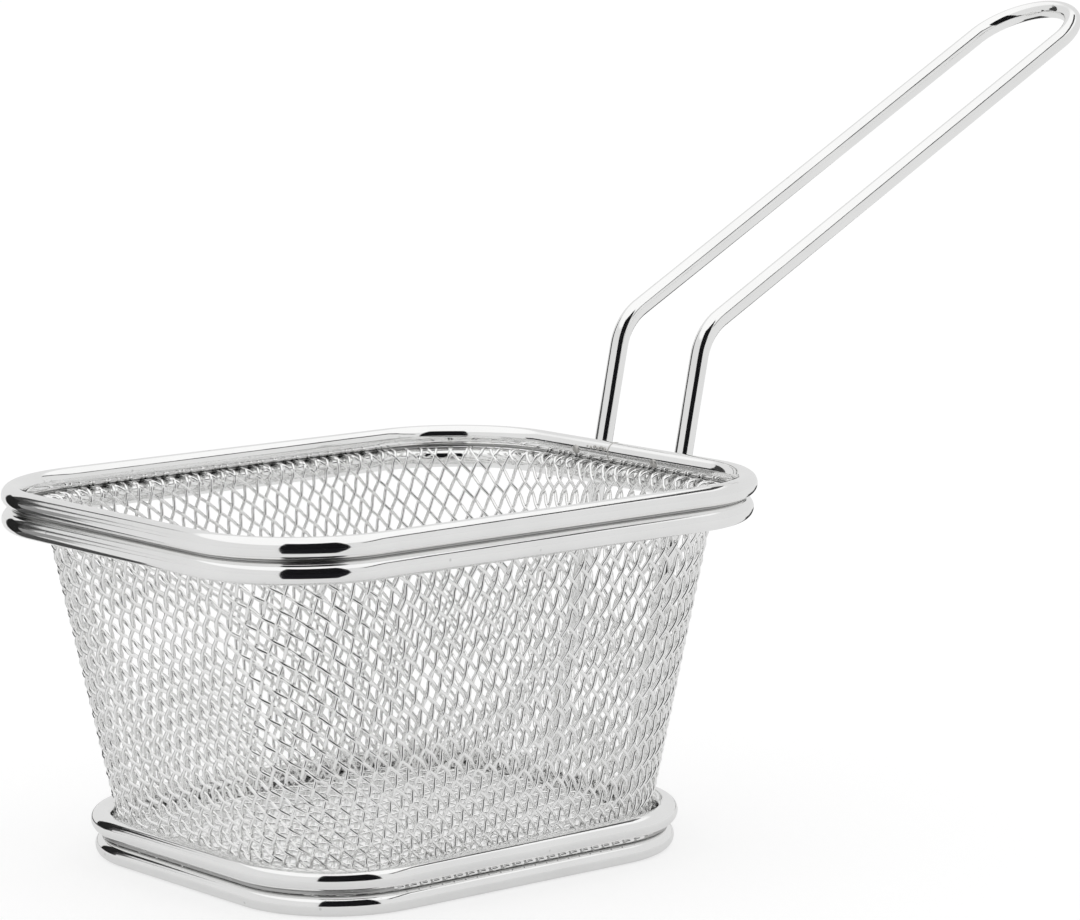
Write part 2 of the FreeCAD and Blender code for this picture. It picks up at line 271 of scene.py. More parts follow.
def ring_mesh(name, box, corner):
    """One closed ring of round wire, bent to a rounded rectangle: a quarter, mirrored twice."""
    low, high = box
    centre = (low + high) / 2
    radius = (high.z - low.z) / 2
    half_length = (high.x - low.x) / 2 - radius
    half_width = (high.y - low.y) / 2 - radius
    bm = new_wire_bmesh()
    place = Matrix.Translation((0, -half_width, 0)) @ Matrix.Rotation(math.radians(90), 4, "Y")
    rim = start_wire(bm, radius, RING_SIDES, place)
    rim = carry_straight(bm, rim, Vector((half_length - corner, 0, 0)), RING_STEPS)
    bend_centre = Vector((half_length - corner, corner - half_width, 0))
    rim = carry_bend(bm, rim, bend_centre, "Z", math.radians(90), corner, BEND_STEPS)
    carry_straight(bm, rim, Vector((0, half_width - corner, 0)), RING_STEPS)
    mirror_all(bm, "X")
    mirror_all(bm, "Y")
    bmesh.ops.translate(bm, verts=bm.verts, vec=centre)
    return finish_mesh(bm, name)


def add_bead(bm, spot, size, turn, chance):
    """A small uneven bead of weld metal, half sunk in the wire."""
    made = bmesh.ops.create_icosphere(bm, subdivisions=BEAD_SUBDIVISIONS, radius=1.0)
    for vert in made["verts"]:
        vert.co *= 1 + chance.uniform(-BEAD_ROUGH, BEAD_ROUGH)
    bmesh.ops.smooth_vert(
        bm, verts=made["verts"], factor=BEAD_SMOOTHING, use_axis_x=True, use_axis_y=True, use_axis_z=True
    )
    change = Matrix.Translation(spot) @ turn.to_4x4() @ Matrix.Diagonal((*size, 1))
    bmesh.ops.transform(bm, matrix=change, verts=made["verts"])


def handle_mesh(name, sizes):
    """The bent handle wire: foot, leaning leg, knee, grip and end loop, one side mirrored."""
    ring_x = BASE_UPPER[1].x - RING_WIRE / 2
    ring_z = (BASE_UPPER[0].z + BASE_UPPER[1].z) / 2
    leg_run = RIM_UPPER[1].x - BASE_UPPER[1].x
    leg_rise = RIM_UPPER[1].z - BASE_UPPER[1].z
    lean = math.atan2(leg_run, leg_rise)
    standoff = (RING_WIRE + sizes.handle_wire) / 2
    turn = math.radians(90) - sizes.grip_slope - lean
    setback = sizes.knee_radius * math.tan(turn / 2)
    knee_rise = (sizes.knee_height - ring_z) / math.cos(lean)
    leg_length = knee_rise + standoff * math.tan(lean) + sizes.handle_foot
    side = sizes.handle_spacing / 2
    radius = sizes.handle_wire / 2
    chamfer = radius * FOOT_CHAMFER

    bm = new_wire_bmesh()
    start = Matrix.Translation((0, side, 0))
    rim = start_wire(bm, radius - chamfer, RING_SIDES, start)
    bmesh.ops.contextual_create(bm, geom=rim)
    widen = Matrix.Diagonal((radius / (radius - chamfer), radius / (radius - chamfer), 1, 1))
    change = Matrix.Translation((0, side, chamfer)) @ widen @ Matrix.Translation((0, -side, 0))
    rim = carry(bm, rim, change, chamfer)
    rim = carry_straight(bm, rim, Vector((0, 0, leg_length - setback - chamfer)), LEG_STEPS)
    knee_centre = Vector((sizes.knee_radius, side, leg_length - setback))
    rim = carry_bend(bm, rim, knee_centre, "Y", turn, sizes.knee_radius, BEND_STEPS)
    grip_way = Vector((math.sin(turn), 0, math.cos(turn)))
    rim = carry_straight(bm, rim, grip_way * (sizes.grip_length - setback), GRIP_STEPS)
    loop_centre = Vector((0, 0, leg_length)) + grip_way * sizes.grip_length
    loop_axis = Vector((math.cos(turn), 0, -math.sin(turn)))
    carry_bend(bm, rim, loop_centre, loop_axis, math.radians(90), side, BEND_STEPS)
    mirror_all(bm, "Y")

    foot_drop = standoff * math.sin(lean) + sizes.handle_foot * math.cos(lean)
    foot_out = standoff * math.cos(lean) - sizes.handle_foot * math.sin(lean)
    place = Matrix.Translation((ring_x + foot_out, 0, ring_z - foot_drop))
    bmesh.ops.transform(bm, matrix=place @ Matrix.Rotation(lean, 4, "Y"), verts=bm.verts)
    return finish_mesh(bm, name)


# The woven wall

class Outline:
    """A rounded rectangle about the Z axis, walked counterclockwise from the corner at -X +Y."""

    def __init__(self, half_length, half_width, corner):
        self.half_length = half_length
        self.half_width = half_width
        self.corner = corner
        bend = math.pi * corner / 2
        short = 2 * (half_width - corner)
        long = 2 * (half_length - corner)
        self.lengths = [bend / 2, short, bend, long, bend, short, bend, long, bend / 2]
        self.round = sum(self.lengths)

    def stretch_of(self, share):
        """Which stretch of the outline a share of the way round lies on, and how far along it."""
        way = min(max(share, 0.0), 1.0) * self.round
        for index, length in enumerate(self.lengths):
            if way <= length or index == len(self.lengths) - 1:
                return index, min(way / length, 1.0)
            way -= length

    def place(self, index, along):
        """The point and its outward direction on one stretch."""
        if index % 2 == 0:
            start = 135 if index == 0 else 90 * (index // 2) + 90
            sweep = 45 if index in (0, 8) else 90
            angle = math.radians(start + sweep * along)
            outward = Vector((math.cos(angle), math.sin(angle), 0))
            centre = Vector((
                math.copysign(self.half_length - self.corner, outward.x),
                math.copysign(self.half_width - self.corner, outward.y),
                0,
            ))
            return centre + outward * self.corner, outward
        outward = (Vector((-1, 0, 0)), Vector((0, -1, 0)), Vector((1, 0, 0)), Vector((0, 1, 0)))[index // 2]
        forward = Vector((-outward.y, outward.x, 0))
        reach = self.half_length if outward.x else self.half_width
        half = (self.half_width if outward.x else self.half_length) - self.corner
        return outward * reach + forward * half * (2 * along - 1), outward


class WovenWall:
    """The middle surface of the wall cloth, from the base rings up to the rim rings."""

    def __init__(self, sizes):
        rim_length = RIM_UPPER[1].x - RING_WIRE / 2 - sizes.wall_inset_top
        rim_width = RIM_UPPER[1].y - RING_WIRE / 2 - sizes.wall_inset_top
        base_length = BASE_UPPER[1].x - RING_WIRE / 2 - sizes.wall_inset_base
        base_width = BASE_UPPER[1].y - RING_WIRE / 2 - sizes.wall_inset_base
        self.top = (rim_length, rim_width, sizes.wall_corner_top)
        self.base = (base_length, base_width, sizes.wall_corner_base)
        self.inset_base = sizes.wall_inset_base
        self.inset_top = sizes.wall_inset_top
        self.rim_hold = sizes.rim_hold
        self.low = BASE_GAP_Z + FOOT_LIFT
        self.high = RIM_GAP_Z
        self.middle = self.outline(0.5)

    def outline(self, rise):
        """The outline at a share of the height."""
        return Outline(*(low + (high - low) * rise for low, high in zip(self.base, self.top)))

    def point(self, share, height, out):
        """A point of the wall at a share of the way round, a height, and a distance outwards."""
        rise = (height - self.low) / (self.high - self.low)
        index, along = self.middle.stretch_of(share)
        spot, outward = self.outline(rise).place(index, along)
        spot.z = height
        return spot + outward * out


def between(table, share):
    """A value read between the entries (share, value) of a short table."""
    if share <= table[0][0]:
        return table[0][1]
    for (a, low), (b, high) in zip(table, table[1:]):
        if share <= b:
            return low + (high - low) * (share - a) / (b - a)
    return table[-1][1]


# Share of the way round, lean from upright in degrees
# The middles of the walls at -X, -Y, +X and +Y lie at 0.11, 0.36, 0.61 and 0.86
RISING_LEAN = (
    (0.0, 25), (0.11, 25), (0.2, 20), (0.27, 17), (0.36, 21),
    (0.45, 21), (0.61, 36), (0.86, 50), (1.0, 51),
)
FALLING_LEAN = (
    (0.0, 70), (0.12, 70), (0.2, 60), (0.27, 47), (0.36, 43),
    (0.43, 39), (0.61, 26), (0.75, 15), (0.86, 15), (1.0, 15),
)
# Share of the way round, distance between neighbouring wires along the wall at half height, in mm
RISING_GAP = (
    (0.0, 2.72), (0.11, 2.72), (0.2, 2.4), (0.27, 2.1), (0.36, 2.08),
    (0.43, 2.12), (0.61, 2.5), (0.86, 2.9),
)
FALLING_GAP = (
    (0.0, 6.2), (0.12, 6.2), (0.2, 4.3), (0.27, 3.0), (0.36, 2.9),
    (0.43, 2.8), (0.61, 2.3), (0.75, 1.95), (0.86, 2.1),
)
# Share of the way round, how far the foot ends show between the base rings, from 0 to 1
FOOT_SHOWS = (
    (0.0, 0.0), (0.23, 0.0), (0.26, 1.0), (0.47, 1.0), (0.5, 0.0),
    (0.76, 0.0), (0.79, 1.0), (0.96, 1.0), (1.0, 0.0),
)
# Foot ends: how far they run along the base ring, stand out of it and lie above the middle of its gap
FOOT_LAY = 1.5 * MM
FOOT_OUT = 0.45 * MM
FOOT_LIFT = 0.15 * MM
# Wires are laid out this share past the seam and cut there
SEAM_MARGIN = 0.35
SHARE_STEP = 0.005
# Crossings are kept this share of the height past the foot and the head
CROSSING_MARGIN = 0.02
CURL_STEPS = 6
CURL_RADIUS = 1.35 * MM
CRIMP_STEPS = 3


def look_up(keys, values, key):
    """The value at key between the entries of two rising lists."""
    index = min(max(bisect.bisect(keys, key), 1), len(keys) - 1)
    part = (key - keys[index - 1]) / (keys[index] - keys[index - 1])
    return values[index - 1] + (values[index] - values[index - 1]) * part


class WireFamily:
    """All wires of one direction; climb is the rise that a wire of it gains on its way round."""

    def __init__(self, leans, gaps, wall, side):
        self.side = side
        self.shares = [-SEAM_MARGIN]
        self.climbs = [0.0]
        height = wall.high - wall.low
        while self.shares[-1] < 1 + SEAM_MARGIN:
            lean = math.radians(between(leans, self.shares[-1]))
            climb = SHARE_STEP * wall.middle.round / (height * math.tan(lean))
            self.climbs.append(self.climbs[-1] + climb)
            self.shares.append(self.shares[-1] + SHARE_STEP)
        self.wires = []
        share = -SEAM_MARGIN
        while share < 1 + SEAM_MARGIN:
            self.wires.append(self.climb_at(share))
            share += between(gaps, share) * MM / wall.middle.round

    def climb_at(self, share):
        """The rise gained up to a share of the way round."""
        return look_up(self.shares, self.climbs, share)

    def share_at(self, wire, rise):
        """Where round the wall a wire is at a rise from 0 at its foot to 1 at its head."""
        return look_up(self.climbs, self.shares, wire + self.side * (rise - 0.5))


def crossings(family, number, other, parity):
    """Where a wire meets the wires of the other direction: (rise, +1 over or -1 under)."""
    both = [one + two for one, two in zip(family.climbs, other.climbs)]
    wire = family.wires[number]
    found = []
    for index, other_wire in enumerate(other.wires):
        share = look_up(both, family.shares, wire + other_wire)
        rise = 0.5 + family.side * (family.climb_at(share) - wire)
        if -CROSSING_MARGIN < rise < 1 + CROSSING_MARGIN:
            found.append((rise, 1 if (index + number + parity) % 2 == 0 else -1))
    return sorted(found)


def woven_path(wall, family, wire, meets, amplitude, foot_shows):
    """The points of one wire of the wall, from its turned-out foot to its turned-out head."""
    height = wall.high - wall.low

    def place(rise, out):
        """A point of this wire at a rise and a distance outwards."""
        return wall.point(family.share_at(wire, rise), wall.low + height * rise, out)

    stations = []
    for (rise_a, out_a), (rise_b, out_b) in zip(meets, meets[1:]):
        for step in range(CRIMP_STEPS):
            part = step / CRIMP_STEPS
            ease = (1 - math.cos(math.pi * part)) / 2
            stations.append((rise_a + (rise_b - rise_a) * part, (out_a + (out_b - out_a) * ease) * amplitude))
    if meets:
        stations.append((meets[-1][0], meets[-1][1] * amplitude))
    curl_rise = CURL_RADIUS / height

    points = []
    if 0 <= family.share_at(wire, 0) <= 1:
        foot = family.share_at(wire, 0)
        reach = wall.inset_base
        if foot_shows:
            reach += FOOT_OUT * between(FOOT_SHOWS, foot)
            points.append(wall.point(foot - family.side * FOOT_LAY / wall.middle.round, wall.low, reach))
        points.append(wall.point(foot, wall.low, reach))
        for step in range(CURL_STEPS + 1):
            turn = math.radians(90) * step / CURL_STEPS
            points.append(place(curl_rise * (1 - math.cos(turn)), CURL_RADIUS * (1 - math.sin(turn))))
    for rise, out in stations:
        if curl_rise < rise < 1 - curl_rise and 0 <= family.share_at(wire, rise) <= 1:
            points.append(place(rise, out))
    if 0 <= family.share_at(wire, 1) <= 1:
        for step in range(CURL_STEPS + 1):
            turn = math.radians(90) * step / CURL_STEPS
            points.append(place(1 - curl_rise * (1 - math.sin(turn)), CURL_RADIUS * (1 - math.cos(turn))))
        points.append(place(1, wall.inset_top - wall.rim_hold))
    return points


def wires_mesh(name, paths, diameter):
    """Round wires along paths, as one mesh."""
    curve = bpy.data.curves.new(name, "CURVE")
    curve.dimensions = "3D"
    curve.bevel_depth = diameter / 2
    curve.bevel_resolution = CLOTH_SIDES_RESOLUTION
    curve.use_fill_caps = True
    for path in paths:
        if len(path) < 2:
            continue
        spline = curve.splines.new("POLY")
        spline.points.add(len(path) - 1)
        for point, spot in zip(spline.points, path):
            point.co = (*spot, 1)
    holder = bpy.data.objects.new(name, curve)
    bpy.context.scene.collection.objects.link(holder)
    bpy.context.view_layer.update()
    shape = holder.evaluated_get(bpy.context.evaluated_depsgraph_get())
    mesh = bpy.data.meshes.new_from_object(shape)
    bpy.data.objects.remove(holder)
    bpy.data.curves.remove(curve)
    mesh.name = name
    mesh.shade_smooth()
    return mesh


# Materials

LINE_DETAIL = 3.0
CLOUD_SCALE = 90.0
CLOUD_DETAIL = 2.0
# Distance from a pit's middle where it is deepest and where it ends, in cells
PIT_BOTTOM = 0.03
PIT_EDGE = 0.08
# Roughness of the smoothest and roughest marks against the plain one
POLISH_SPREAD = (0.6, 1.5)
# Tone of the darkest and brightest clouds and of a pit against the plain colour
CLOUD_TONES = (0.94, 1.05)
PIT_TONE = 0.8
MARK_DEPTH = 0.02 * MM
# The pressed edge of the cloth is painted this much darker than its wires: painted shade in the gap between
# the ring wires
EDGE_PAINTED_SHADE = 0.5
EDGE_ROUGHNESS = 0.3
WELD_ROUGHNESS = 0.32
FLOOR_ROUGHNESS = 0.9


def node(tree, kind, **values):
    """A new node with its plain properties set."""
    made = tree.nodes.new(kind)
    for key, value in values.items():
        setattr(made, key, value)
    return made


def drawn_wire_group():
    """Marks of a drawn and polished wire: long faint lines, small pits and a soft clouding."""
    name = "drawn_wire_marks"
    if name in bpy.data.node_groups:
        return bpy.data.node_groups[name]
    group = bpy.data.node_groups.new(name, "ShaderNodeTree")
    group.interface.new_socket("Place", in_out="INPUT", socket_type="NodeSocketVector")
    for socket in ("Line Density", "Pit Density"):
        group.interface.new_socket(socket, in_out="INPUT", socket_type="NodeSocketFloat")
    for socket in ("Lines", "Pits", "Cloud"):
        group.interface.new_socket(socket, in_out="OUTPUT", socket_type="NodeSocketFloat")
    link = group.links.new
    entry = node(group, "NodeGroupInput")
    leave = node(group, "NodeGroupOutput")
    lines = node(group, "ShaderNodeTexNoise")
    lines.inputs["Detail"].default_value = LINE_DETAIL
    pits = node(group, "ShaderNodeTexVoronoi")
    cloud = node(group, "ShaderNodeTexNoise")
    cloud.inputs["Scale"].default_value = CLOUD_SCALE
    cloud.inputs["Detail"].default_value = CLOUD_DETAIL
    coordinates = node(group, "ShaderNodeTexCoord")
    deep = node(group, "ShaderNodeMapRange")
    deep.inputs["From Min"].default_value = PIT_BOTTOM
    deep.inputs["From Max"].default_value = PIT_EDGE
    deep.inputs["To Min"].default_value = 1.0
    deep.inputs["To Max"].default_value = 0.0
    link(entry.outputs["Place"], lines.inputs["Vector"])
    link(entry.outputs["Line Density"], lines.inputs["Scale"])
    link(entry.outputs["Pit Density"], pits.inputs["Scale"])
    link(coordinates.outputs["Object"], pits.inputs["Vector"])
    link(coordinates.outputs["Object"], cloud.inputs["Vector"])
    link(pits.outputs["Distance"], deep.inputs["Value"])
    link(lines.outputs["Fac"], leave.inputs["Lines"])
    link(deep.outputs["Result"], leave.inputs["Pits"])
    link(cloud.outputs["Fac"], leave.inputs["Cloud"])
    return group


def steel(name, colour, roughness, line_density, pit_density, along, bump):
    """Bright stainless steel wire; along squeezes the pattern so that its lines run with the wire."""
    if name in bpy.data.materials:
        return bpy.data.materials[name]
    material = bpy.data.materials.new(name)
    material.use_nodes = True
    tree = material.node_tree
    link = tree.links.new
    shader = tree.nodes["Principled BSDF"]
    shader.inputs["Metallic"].default_value = 1.0

    place = node(tree, "ShaderNodeAttribute", attribute_name=PLACE_ON_WIRE)
    squeeze = node(tree, "ShaderNodeMapping")
    squeeze.inputs["Scale"].default_value = (1.0, 1.0, along)
    marks = node(tree, "ShaderNodeGroup", node_tree=drawn_wire_group())
    marks.inputs["Line Density"].default_value = line_density
    marks.inputs["Pit Density"].default_value = pit_density
    link(place.outputs["Vector"], squeeze.inputs["Vector"])
    link(squeeze.outputs["Vector"], marks.inputs["Place"])

    polish = node(tree, "ShaderNodeMapRange")
    polish.inputs["To Min"].default_value = roughness * POLISH_SPREAD[0]
    polish.inputs["To Max"].default_value = roughness * POLISH_SPREAD[1]
    link(marks.outputs["Lines"], polish.inputs["Value"])
    link(polish.outputs["Result"], shader.inputs["Roughness"])

    tone = node(tree, "ShaderNodeMix", data_type="RGBA")
    tone.inputs["A"].default_value = (*[c * CLOUD_TONES[0] for c in colour], 1)
    tone.inputs["B"].default_value = (*[min(c * CLOUD_TONES[1], 1.0) for c in colour], 1)
    link(marks.outputs["Cloud"], tone.inputs["Factor"])
    pitted = node(tree, "ShaderNodeMix", data_type="RGBA")
    pitted.inputs["B"].default_value = (*[c * PIT_TONE for c in colour], 1)
    link(marks.outputs["Pits"], pitted.inputs["Factor"])
    link(tone.outputs["Result"], pitted.inputs["A"])
    link(pitted.outputs["Result"], shader.inputs["Base Color"])

    height = node(tree, "ShaderNodeMath", operation="SUBTRACT")
    link(marks.outputs["Lines"], height.inputs[0])
    link(marks.outputs["Pits"], height.inputs[1])
    raised = node(tree, "ShaderNodeBump")
    raised.inputs["Strength"].default_value = bump
    raised.inputs["Distance"].default_value = MARK_DEPTH
    link(height.outputs["Value"], raised.inputs["Height"])
    link(raised.outputs["Normal"], shader.inputs["Normal"])
    return material


def ring_steel():
    finish = bpy.context.scene.basket_finish
    return steel(
        "polished_ring_steel", finish.ring_colour, finish.ring_roughness,
        line_density=5.0, pit_density=260.0, along=12.0, bump=0.25,
    )


def handle_steel():
    finish = bpy.context.scene.basket_finish
    return steel(
        "polished_handle_steel", finish.ring_colour, finish.ring_roughness,
        line_density=6.0, pit_density=220.0, along=12.0, bump=0.25,
    )


def cloth_steel():
    finish = bpy.context.scene.basket_finish
    return steel(
        "woven_cloth_steel", finish.cloth_colour, finish.cloth_roughness,
        line_density=5.0, pit_density=700.0, along=1.0, bump=0.15,
    )


def painted_shade_edge_steel():
    finish = bpy.context.scene.basket_finish
    # Painted shade: the cloth edge between the ring wires gets half the cloth's colour, standing in for the
    # shade of that gap
    return steel(
        "pressed_edge_painted_shade_steel", [c * EDGE_PAINTED_SHADE for c in finish.cloth_colour], EDGE_ROUGHNESS,
        line_density=5.0, pit_density=700.0, along=1.0, bump=0.3,
    )


def weld_steel():
    finish = bpy.context.scene.basket_finish
    return steel(
        "weld_steel", finish.weld_colour, WELD_ROUGHNESS,
        line_density=6.0, pit_density=900.0, along=1.0, bump=0.8,
    )


def floor_paint(colour):
    """A plain pale floor, lifted to white for the camera and for the steel, with its shadow kept."""
    material = bpy.data.materials.new("pale_floor")
    material.use_nodes = True
    tree = material.node_tree
    shader = tree.nodes["Principled BSDF"]
    shader.inputs["Base Color"].default_value = (*colour, 1)
    shader.inputs["Roughness"].default_value = FLOOR_ROUGHNESS
    shader.inputs["Specular IOR Level"].default_value = 0.0
    shader.inputs["Emission Strength"].default_value = 1.0
    rays = node(tree, "ShaderNodeLightPath")
    in_steel = node(tree, "ShaderNodeMath", operation="MAXIMUM")
    to_steel = node(tree, "ShaderNodeMath", operation="MULTIPLY")
    to_steel.inputs[1].default_value = FLOOR_LIFT_IN_STEEL
    to_camera = node(tree, "ShaderNodeMath", operation="MULTIPLY_ADD")
    to_camera.inputs[1].default_value = FLOOR_LIFT
    tree.links.new(rays.outputs["Is Glossy Ray"], in_steel.inputs[0])
    tree.links.new(rays.outputs["Is Transmission Ray"], in_steel.inputs[1])
    tree.links.new(in_steel.outputs["Value"], to_steel.inputs[0])
    tree.links.new(rays.outputs["Is Camera Ray"], to_camera.inputs[0])
    tree.links.new(to_steel.outputs["Value"], to_camera.inputs[2])
    tree.links.new(to_camera.outputs["Value"], shader.inputs["Emission Color"])
    return material


def card_paint(name, colour):
    """An even dark tone for one of the studio's cards."""
    material = bpy.data.materials.new(name)
    material.use_nodes = True
    shader = material.node_tree.nodes["Principled BSDF"]
    shader.inputs["Base Color"].default_value = (*colour, 1)
    shader.inputs["Roughness"].default_value = 1.0
    shader.inputs["Specular IOR Level"].default_value = 0.0
    return material


# Operators

class BASKET_OT_rings(bpy.types.Operator):
    """Bend the two rim rings and the two base rings from polished wire"""

    bl_idname = "basket.rings"
    bl_label = "Rings"

    def execute(self, context):
        sizes = context.scene.basket_sizes
        inset = BASE_UPPER[1].x - BASE_LOWER[1].x
        rings = (
            ("rim_ring_upper", RIM_UPPER, sizes.rim_corner),
            ("rim_ring_lower", RIM_LOWER, sizes.rim_corner),
            ("base_ring_upper", BASE_UPPER, sizes.base_corner),
            ("base_ring_lower", BASE_LOWER, sizes.base_corner - inset),
        )
        for node_name, box, corner in rings:
            mesh = ring_mesh("polished_" + node_name, box, corner)
            piece = new_piece("polished_" + node_name, mesh, ring_steel())
            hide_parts(node_name)
        return {"FINISHED"}


class BASKET_OT_cloth_edges(bpy.types.Operator):
    """Lay the pressed edges of the cloth between the ring wires"""

    bl_idname = "basket.cloth_edges"
    bl_label = "Cloth edges"

    def execute(self, context):
        sizes = context.scene.basket_sizes
        edges = (
            ("rim_cloth_edge", RIM_UPPER, RIM_LOWER, sizes.rim_corner, "wall_mesh"),
            ("base_cloth_edge", BASE_UPPER, BASE_LOWER, sizes.base_corner, "floor_mesh"),
        )
        for name, upper, lower, corner, node_name in edges:
            half_gap = (upper[0].z - lower[1].z) / 2
            middle = upper[0].z - half_gap
            inset = RING_WIRE / 2 - half_gap
            low = Vector((upper[0].x + inset, upper[0].y + inset, middle - half_gap))
            high = Vector((upper[1].x - inset, upper[1].y - inset, middle + half_gap))
            piece = new_piece(name, ring_mesh(name, (low, high), corner), painted_shade_edge_steel())
            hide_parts(node_name)
        return {"FINISHED"}


class BASKET_OT_welds(bpy.types.Operator):
    """Put the weld beads on the legs, the weld spots on the rim and the joint of the rim wire"""

    bl_idname = "basket.welds"
    bl_label = "Welds"

    def execute(self, context):
        sizes = context.scene.basket_sizes
        chance = random.Random(WELD_SEED)
        radius = RING_WIRE / 2
        rim_x = RIM_UPPER[1].x - radius
        rim_z = (RIM_UPPER[0].z + RIM_UPPER[1].z) / 2

        bm = new_wire_bmesh()
        for box in (RIM_UPPER, RIM_LOWER, BASE_UPPER):
            touch = Vector((box[1].x - BEAD_SINK, 0, (box[0].z + box[1].z) / 2 - BEAD_DROP))
            for side in (-1, 1):
                for lean in (-1, 1):
                    spot = touch + Vector((0, side * sizes.handle_spacing / 2 + lean * BEAD_OFFSET, 0))
                    add_bead(bm, spot, LEG_BEAD, Matrix.Identity(3), chance)
        mesh = finish_mesh(bm, "leg_weld_beads", WELD_SHARP_ANGLE)
        piece = new_piece("leg_weld_beads", mesh, weld_steel())
        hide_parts("handle_wire")

        bm = new_wire_bmesh()
        for along, turn in RIM_SPOTS:
            out = Matrix.Rotation(math.radians(turn), 3, "Y")
            spot = Vector((rim_x, along, rim_z)) + out @ Vector((-radius * SPOT_DEPTH, 0, 0))
            add_bead(bm, spot, SPOT_BEAD, out, chance)
        for along, turn, size in RIM_PATCH:
            out = Matrix.Rotation(math.radians(turn), 3, "Y")
            spot = Vector((rim_x, along, rim_z)) + out @ Vector((-radius * PATCH_DEPTH, 0, 0))
            add_bead(bm, spot, PATCH_BEAD * size, out, chance)
        place = Matrix.Translation((rim_x, RIM_JOINT, rim_z)) @ Matrix.Rotation(math.radians(90), 4, "X")
        rim = start_wire(bm, radius * JOINT_START, RING_SIDES, place)
        for share, step in JOINT_BEAD:
            grow = Matrix.Diagonal((share, share, 1, 1))
            change = place @ grow @ place.inverted() @ Matrix.Translation((0, step, 0))
            rim = carry(bm, rim, change, step)
        mesh = finish_mesh(bm, "rim_weld_marks", WELD_SHARP_ANGLE)
        piece = new_piece("rim_weld_marks", mesh, weld_steel())
        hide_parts("rim_ring_upper")
        return {"FINISHED"}


class BASKET_OT_handle(bpy.types.Operator):
    """Bend the looped handle from one polished wire"""

    bl_idname = "basket.handle"
    bl_label = "Handle"

    def execute(self, context):
        mesh = handle_mesh("polished_handle_wire", context.scene.basket_sizes)
        piece = new_piece("polished_handle_wire", mesh, handle_steel())
        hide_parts("handle_wire")
        return {"FINISHED"}


class BASKET_OT_wall_cloth(bpy.types.Operator):
    """Weave the wall from two sets of crimped wires with their ends turned out between the rings"""

    bl_idname = "basket.wall_cloth"
    bl_label = "Wall cloth"

    def execute(self, context):
        sizes = context.scene.basket_sizes
        wall = WovenWall(sizes)
        rising = WireFamily(RISING_LEAN, RISING_GAP, wall, 1)
        falling = WireFamily(FALLING_LEAN, FALLING_GAP, wall, -1)
        families = (
            ("wall_wires_rising", rising, falling, 0),
            ("wall_wires_falling", falling, rising, 1),
        )
        for name, family, other, parity in families:
            paths = []
            foot_shows = family is falling
            for number, wire in enumerate(family.wires):
                meets = crossings(family, number, other, parity)
                paths.append(woven_path(wall, family, wire, meets, sizes.cloth_wire / 2, foot_shows))
            mesh = wires_mesh(name, paths, sizes.cloth_wire)
            piece = new_piece(name, mesh, cloth_steel())
            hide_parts("wall_mesh")
        return {"FINISHED"}


class BASKET_OT_floor_cloth(bpy.types.Operator):
    """Weave the flat floor from two sets of crimped wires"""

    bl_idname = "basket.floor_cloth"
    bl_label = "Floor cloth"

    def execute(self, context):
        sizes = context.scene.basket_sizes
        low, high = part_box("floor_mesh")
        height = (low.z + high.z) / 2
        half_length = BASE_UPPER[1].x - RING_WIRE / 2
        half_width = BASE_UPPER[1].y - RING_WIRE / 2
        corner = sizes.base_corner
        pitch = sizes.floor_pitch
        count = int(math.hypot(half_length, half_width) / pitch)
        turn = Matrix.Rotation(sizes.floor_turn, 3, "Z")

        def on_floor(spot):
            """Whether a spot lies inside the rounded edge of the floor."""
            over_length = max(abs(spot.x) - half_length + corner, 0)
            over_width = max(abs(spot.y) - half_width + corner, 0)
            return math.hypot(over_length, over_width) <= corner

        families = (
            ("floor_wires_slanting", Vector((1, 0, 0)), Vector((0, 1, 0)), 0),
            ("floor_wires_crossing", Vector((0, 1, 0)), Vector((1, 0, 0)), 1),
        )
        for name, way, side, parity in families:
            paths = []
            for index in range(-count, count + 1):
                path = []
                for step in range(-count * CRIMP_STEPS, count * CRIMP_STEPS + 1):
                    spot = turn @ (side * index + way * step / CRIMP_STEPS) * pitch
                    if on_floor(spot):
                        wave = math.cos(math.pi * (step / CRIMP_STEPS + index + parity))
                        spot.z = height + wave * sizes.cloth_wire / 2
                        path.append(spot)
                paths.append(path)
            mesh = wires_mesh(name, paths, sizes.cloth_wire)
            piece = new_piece(name, mesh, cloth_steel())
            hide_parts("floor_mesh")
        return {"FINISHED"}


# Brightness of the room low and overhead, and where it changes, as the sine of the height angle
SKY_LOW = 0.96
SKY_HIGH = 1.25
SKY_EDGE = 0.64
SKY_SOFT = 0.03
# Glow of the floor for the camera and in the steel
FLOOR_LIFT = 0.62
FLOOR_LIFT_IN_STEEL = 0.38
FLOOR_RADIUS = 3.0
FLOOR_SIDES = 96
# The dark front card is a fan about the near corner of the rim: lengths in metres, angles in degrees from -Y
CARD_CORNER = (-0.046, -0.036, 0.0)
CARD_NEAR = 0.060
CARD_FAR = 1.1
CARD_MIDDLE = -25.5
CARD_SPREAD = 59.0
CARD_TOP = 58.0
CARD_STEPS = 12
CARD_STEPS_ROUND = 16
CARD_LIFT = 0.5 * MM
